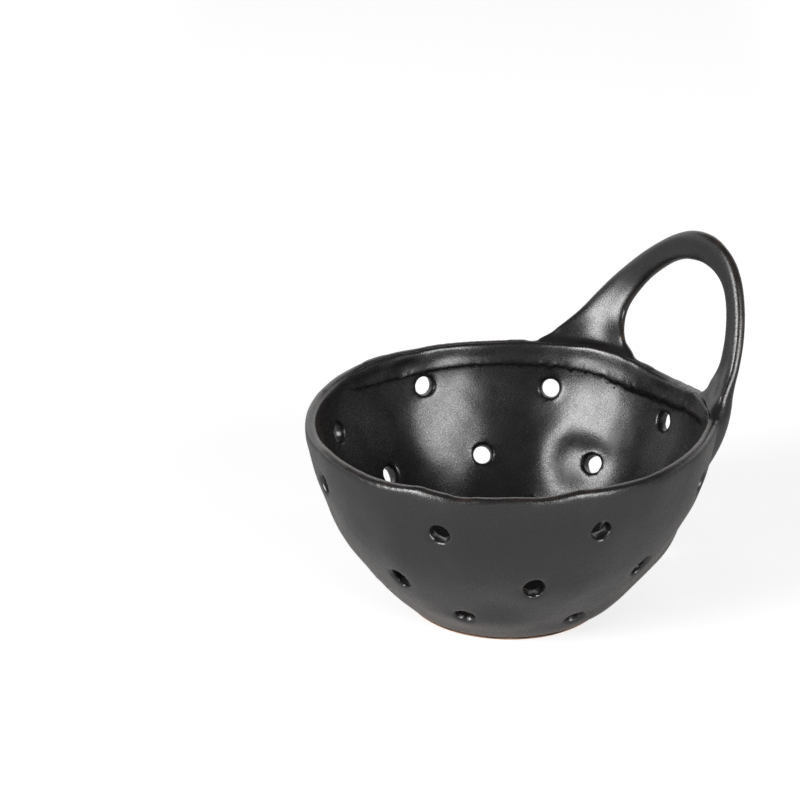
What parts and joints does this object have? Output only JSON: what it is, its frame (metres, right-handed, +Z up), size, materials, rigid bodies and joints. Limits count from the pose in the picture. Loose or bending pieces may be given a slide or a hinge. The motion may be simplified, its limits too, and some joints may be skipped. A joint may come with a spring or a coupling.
{
  "type": "berry colander bowl",
  "caption": "Small round stoneware bowl pierced with drain holes, with a bare clay foot and a tall open loop handle standing on the rim.",
  "frame": {"origin": "middle of the face that the foot stands on, on the bowl's axis", "axes": "+Z up along the bowl's axis, +X from the axis towards the middle of the handle"},
  "size_m": [0.1508, 0.14, 0.1211],
  "materials": {
    "black_glaze": "satin black glaze, brown where it breaks over edges",
    "bare_clay": "unglazed fired clay, matt"
  },
  "bodies": {
    "root": {"bowl_wall": "black_glaze", "foot": "bare_clay", "handle_loop": "black_glaze", "rim_strip": "black_glaze"}
  },
  "joints": []
}
